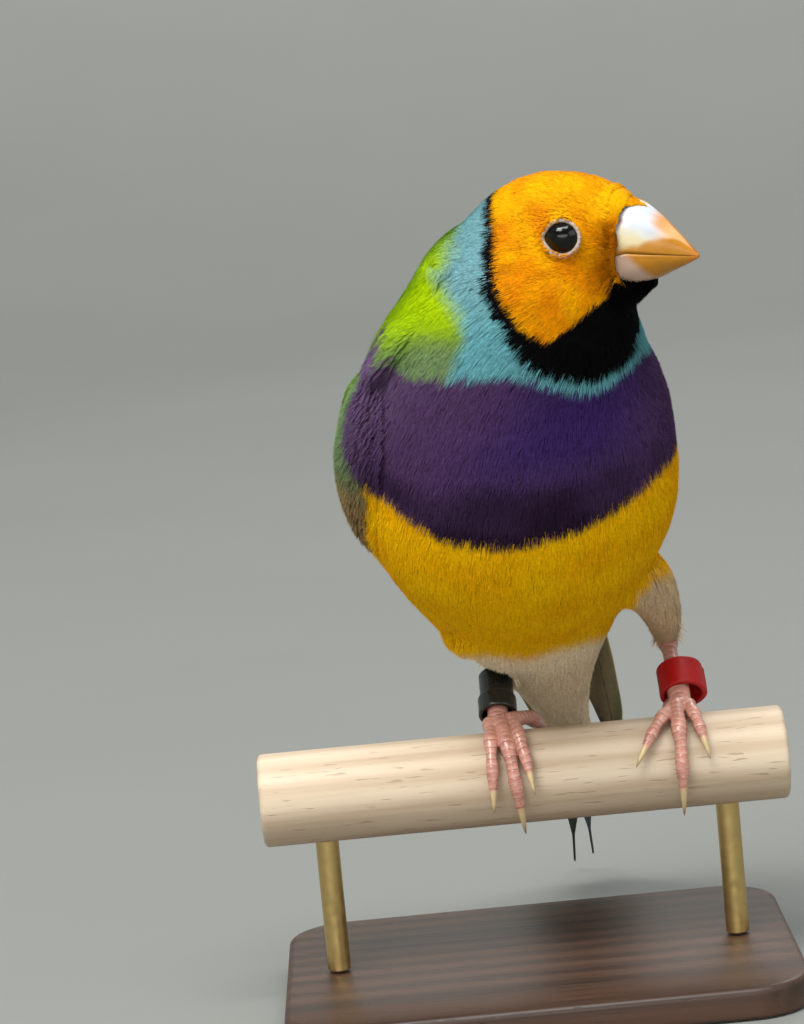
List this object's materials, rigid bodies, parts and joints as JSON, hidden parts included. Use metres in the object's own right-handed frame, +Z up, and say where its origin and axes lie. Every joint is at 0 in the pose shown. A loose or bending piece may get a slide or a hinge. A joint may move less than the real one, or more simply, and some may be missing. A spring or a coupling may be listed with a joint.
{
  "type": "gouldian finch",
  "caption": "Life-size still model of a perching male gouldian finch with leg rings, gripping a short length of dowel on a plain display stand.",
  "frame": {"origin": "centre of the underside of the stand's base, on the surface it stands on", "axes": "+Z up; the dowel runs along X; the bird faces -Y with its head turned towards +X, and its tail hangs towards +Y"},
  "size_m": [0.068, 0.086, 0.1057],
  "materials": {
    "head_plumage": "fine soft feathers, orange yellow mask with a black border and bib",
    "neck_plumage": "fine soft feathers, black bib, turquoise collar and yellow green nape",
    "body_plumage": "soft feathers, purple breast, golden yellow belly, white vent, green back",
    "wing_plumage": "sleek feathers, green with brown flight feathers",
    "tail_plumage": "sleek black feathers",
    "thigh_plumage": "short pale buff feathers",
    "eye": "wet gloss, very dark brown",
    "bill": "satin horn, pearl white with an orange edge and tip",
    "leg_skin": "pink scaly skin, slightly glossy",
    "claw": "pale horn, satin",
    "band_red": "glossy red, worn, bare of marks",
    "band_black": "glossy black, worn, bare of marks",
    "perch_wood": "raw pale beech, fine grain",
    "stand_wood": "dark stained hardwood, satin",
    "stand_metal": "brushed brass"
  },
  "bodies": {
    "root": {"head": "head_plumage", "neck": "neck_plumage", "torso": "body_plumage", "wing_left": "wing_plumage", "wing_right": "wing_plumage", "tail": "tail_plumage", "thigh_left": "thigh_plumage", "thigh_right": "thigh_plumage", "eye_left": "eye", "eye_right": "eye", "bill_upper": "bill", "bill_lower": "bill", "shank_left": "leg_skin", "shank_right": "leg_skin", "foot_left": "leg_skin", "foot_right": "leg_skin", "claw_left_inner": "claw", "claw_left_middle": "claw", "claw_left_outer": "claw", "claw_left_hind": "claw", "claw_right_inner": "claw", "claw_right_middle": "claw", "claw_right_outer": "claw", "claw_right_hind": "claw", "band_red": "band_red", "band_black_lower": "band_black", "band_black_upper": "band_black", "perch": "perch_wood", "stand_base": "stand_wood", "stand_rod_left": "stand_metal", "stand_rod_right": "stand_metal"}
  },
  "joints": []
}
